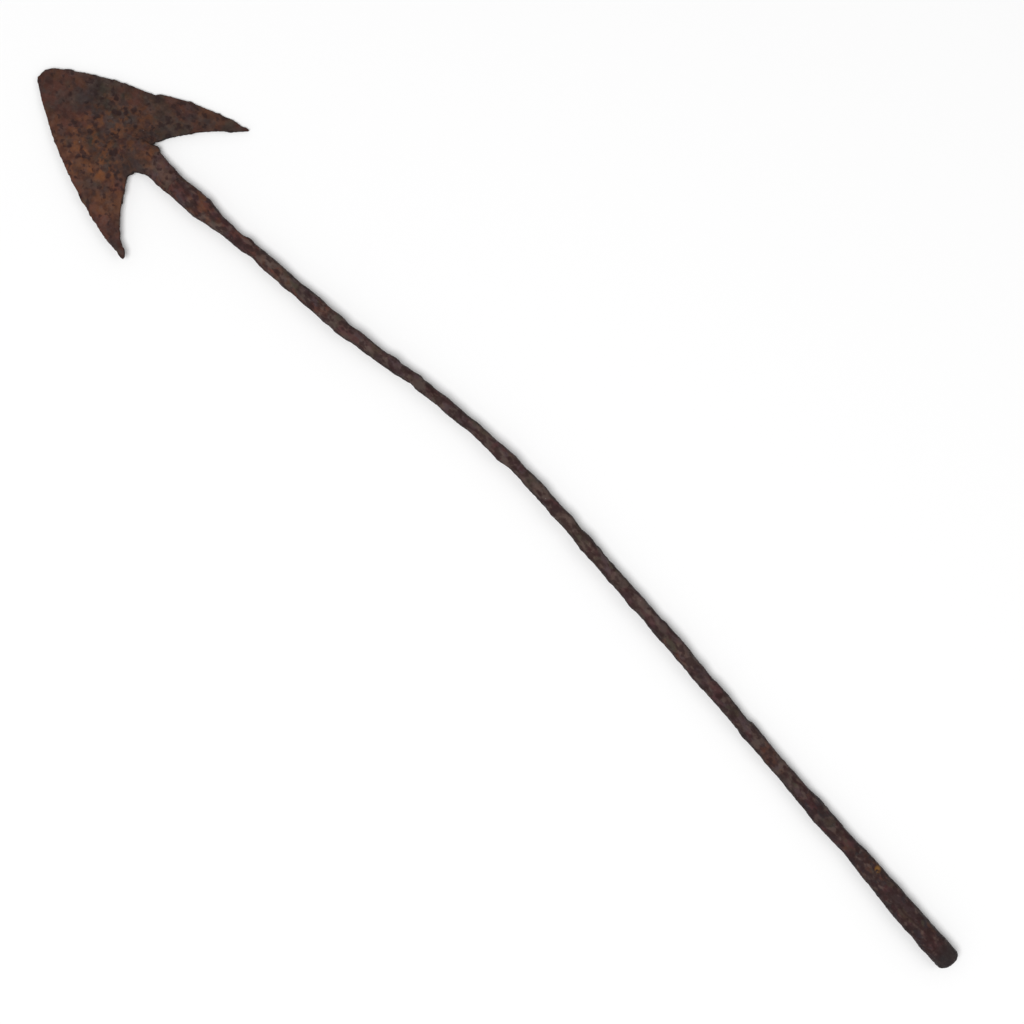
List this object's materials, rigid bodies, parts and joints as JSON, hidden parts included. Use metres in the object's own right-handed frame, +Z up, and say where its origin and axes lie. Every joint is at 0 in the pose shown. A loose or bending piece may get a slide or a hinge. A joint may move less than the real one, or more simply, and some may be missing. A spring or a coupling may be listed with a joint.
{
  "type": "barbed harpoon iron",
  "caption": "Hand-forged wrought-iron harpoon iron: a flat arrow-shaped head with swept-back barbs, a lapped neck, a long bent bar shank and a thickened round butt socket.",
  "frame": {"origin": "on the surface that the iron lies on, under the middle of the whole iron", "axes": "+X along the iron towards the head's point, +Y towards the left barb, +Z up from the surface"},
  "size_m": [0.9145, 0.1314, 0.0175],
  "materials": {
    "head_iron": "heavily rusted and pitted, dark brown with orange-brown patches",
    "neck_iron": "rusted and rough, with orange-brown corrosion over the weld",
    "shank_iron": "rusted, dark brown, smoother than the head",
    "socket_iron": "rusted, very dark brown with a few orange flakes"
  },
  "bodies": {
    "root": {"head_plate": "head_iron", "neck": "neck_iron", "shank": "shank_iron", "butt_socket": "socket_iron"}
  },
  "joints": []
}
